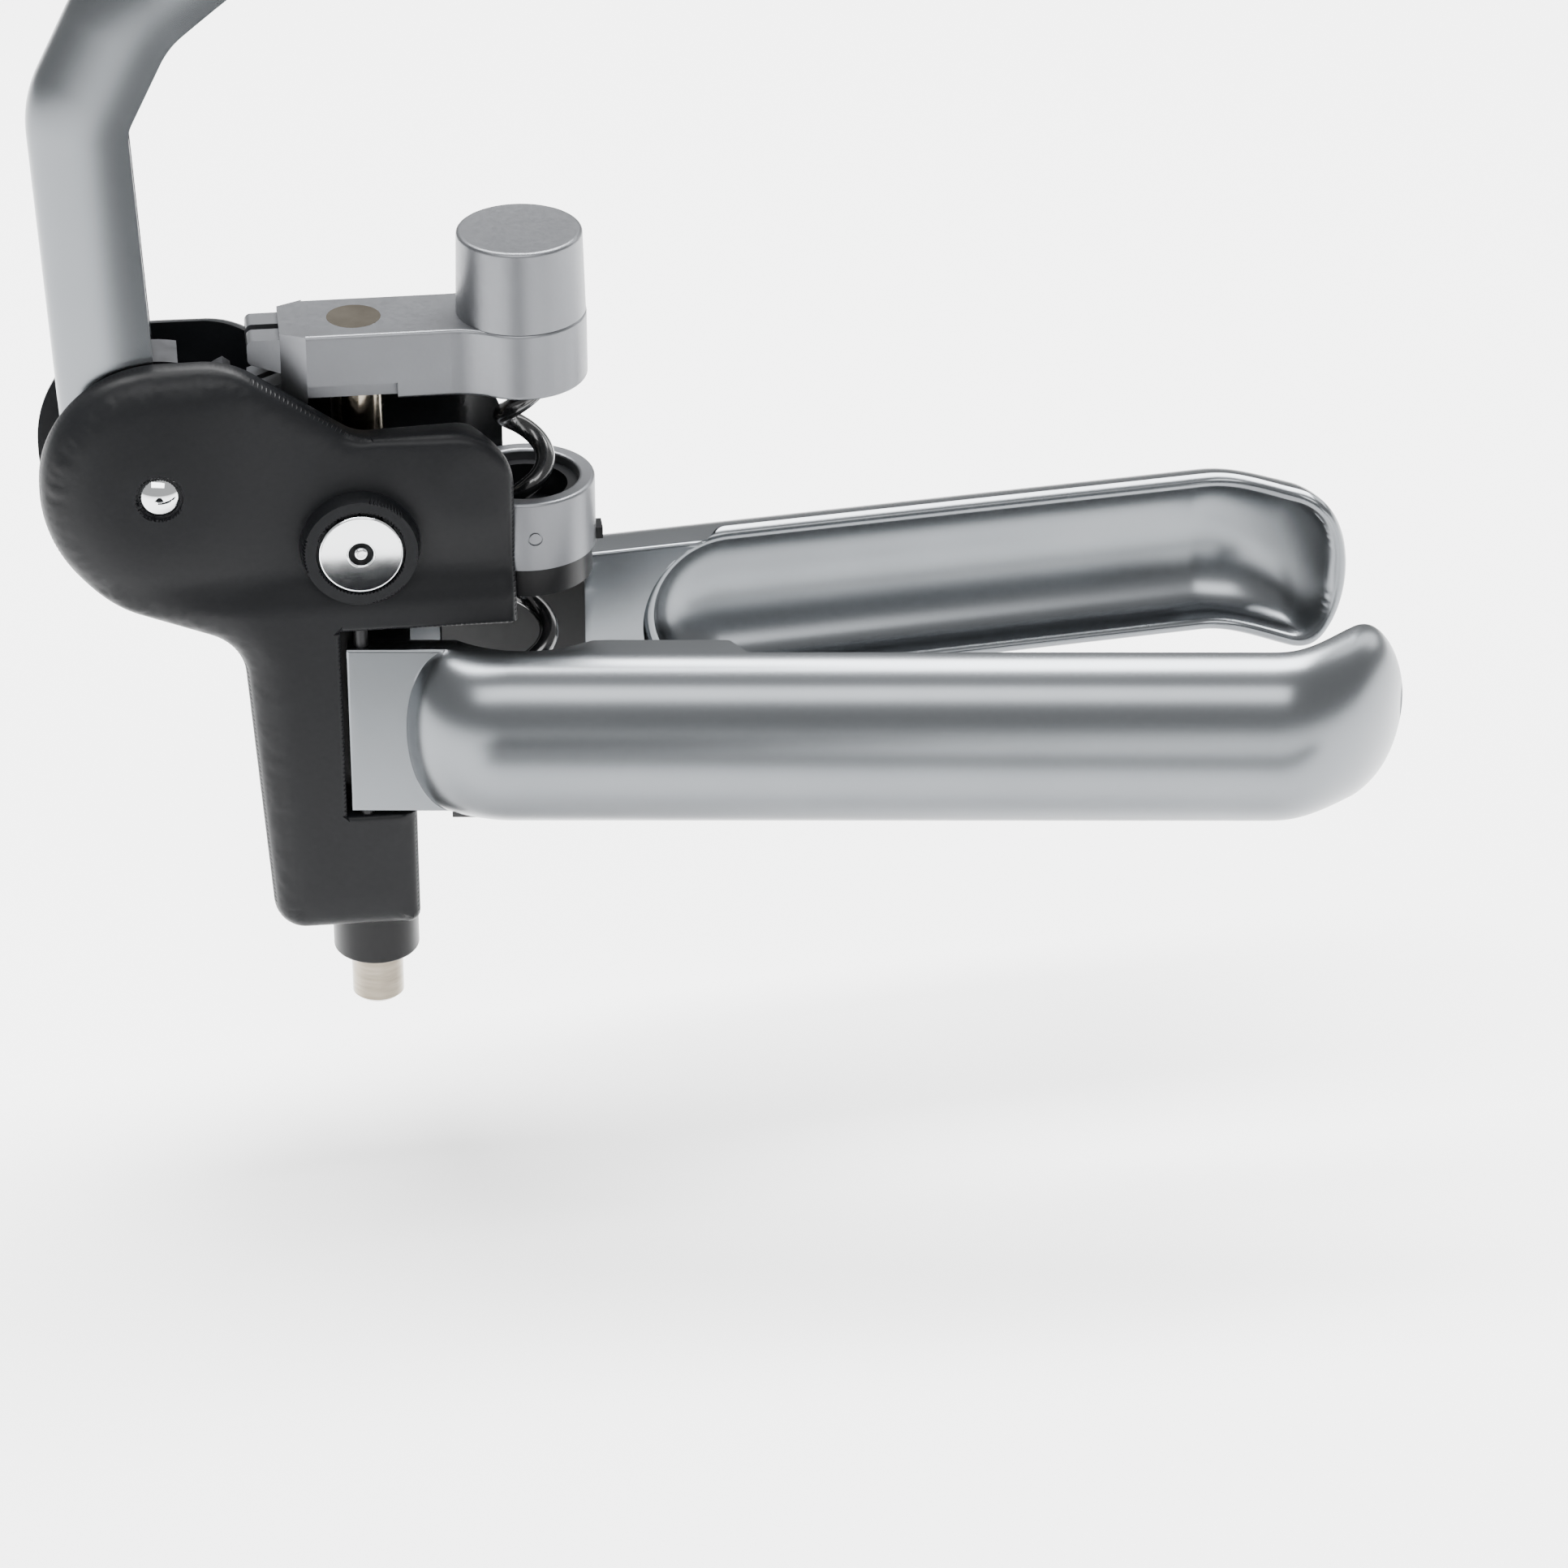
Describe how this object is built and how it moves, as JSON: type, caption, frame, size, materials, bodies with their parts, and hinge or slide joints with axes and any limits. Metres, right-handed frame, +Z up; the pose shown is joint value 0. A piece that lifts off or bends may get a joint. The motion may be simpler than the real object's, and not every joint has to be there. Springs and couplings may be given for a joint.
{
  "type": "hand-held lever corkscrew",
  "caption": "Hand-held lever corkscrew with a swinging lever, geared rack and carriage, spinning worm and two hinged bottle-neck grips.",
  "frame": {"origin": "middle of the clamped bottle neck, on the worm's axis", "axes": "+Z up along the bottle and worm axis, +X from the worm towards the grips' free ends, -Y the near side"},
  "size_m": [0.1899, 0.0734, 0.2325],
  "materials": {
    "cover_plastic": "fine-grained matte black moulding",
    "frame_plastic": "smooth black moulding",
    "bushing_plastic": "plain light bearing plastic",
    "rod_steel": "ground and polished steel",
    "satin_metal": "satin nickel-plated casting",
    "dark_steel": "plain dark steel",
    "black_steel": "blackened steel",
    "worm_coat": "glossy black non-stick coat",
    "mirror_chrome": "mirror chrome",
    "pearl_silver": "satin pearl silver coat",
    "jaw_rubber": "soft matte rubber"
  },
  "bodies": {
    "frame_unit": {"near_cover": "cover_plastic", "far_cover": "cover_plastic", "inner_post": "frame_plastic", "gear_floor": "frame_plastic", "upper_bushing": "bushing_plastic", "lower_bushing": "bushing_plastic", "post_boss": "frame_plastic", "collar_ring": "satin_metal", "worm_nut": "frame_plastic", "collar_bracket": "frame_plastic", "collar_key": "frame_plastic", "lever_pin": "dark_steel", "near_dome": "mirror_chrome", "near_disc": "mirror_chrome", "near_rivet": "mirror_chrome", "near_hinge_pin": "black_steel", "far_dome": "mirror_chrome", "far_disc": "mirror_chrome", "far_rivet": "mirror_chrome", "far_hinge_pin": "black_steel", "cover_screws": "dark_steel"},
    "lever_unit": {"lever": "pearl_silver", "lever_gear": "dark_steel", "gear_rivets": "dark_steel"},
    "carriage_unit": {"carriage_arm": "satin_metal", "rack": "satin_metal", "rack_dowels": "dark_steel", "guide_rod": "rod_steel", "worm_cap": "satin_metal", "thrust_washer": "bushing_plastic"},
    "worm_unit": {"worm": "worm_coat", "worm_spindle": "dark_steel"},
    "near_grip_unit": {"near_grip": "pearl_silver", "near_jaw": "jaw_rubber"},
    "far_grip_unit": {"far_grip": "pearl_silver", "far_jaw": "jaw_rubber"}
  },
  "joints": [
    {"name": "lever_swing", "type": "hinge", "parent": "frame_unit", "child": "lever_unit", "pos_m": [-0.051, 0, 0.038], "axis": [0, -1, 0], "range_deg": [-56, 125]},
    {"name": "carriage_slide", "type": "slide", "parent": "frame_unit", "child": "carriage_unit", "axis": [0, 0, 1], "range_m": [-0.0147, 0.0328]},
    {"name": "worm_spin", "type": "hinge", "parent": "carriage_unit", "child": "worm_unit", "pos_m": [0, 0, 0.0486], "axis": [0, 0, 1], "range_deg": [-388.5, 866.7]},
    {"name": "near_grip_swing", "type": "hinge", "parent": "frame_unit", "child": "near_grip_unit", "pos_m": [-0.0242, -0.0106, 0], "axis": [0, 0, 1], "range_deg": [-35, 4]},
    {"name": "far_grip_swing", "type": "hinge", "parent": "frame_unit", "child": "far_grip_unit", "pos_m": [-0.0242, 0.0106, 0], "axis": [0, 0, 1], "range_deg": [-4, 35]}
  ],
  "couplings": [
    {"joint": "carriage_slide", "follows": "lever_swing", "m_per_rad": 0.015},
    {"joint": "worm_spin", "follows": "lever_swing", "ratio": 6.93}
  ]
}
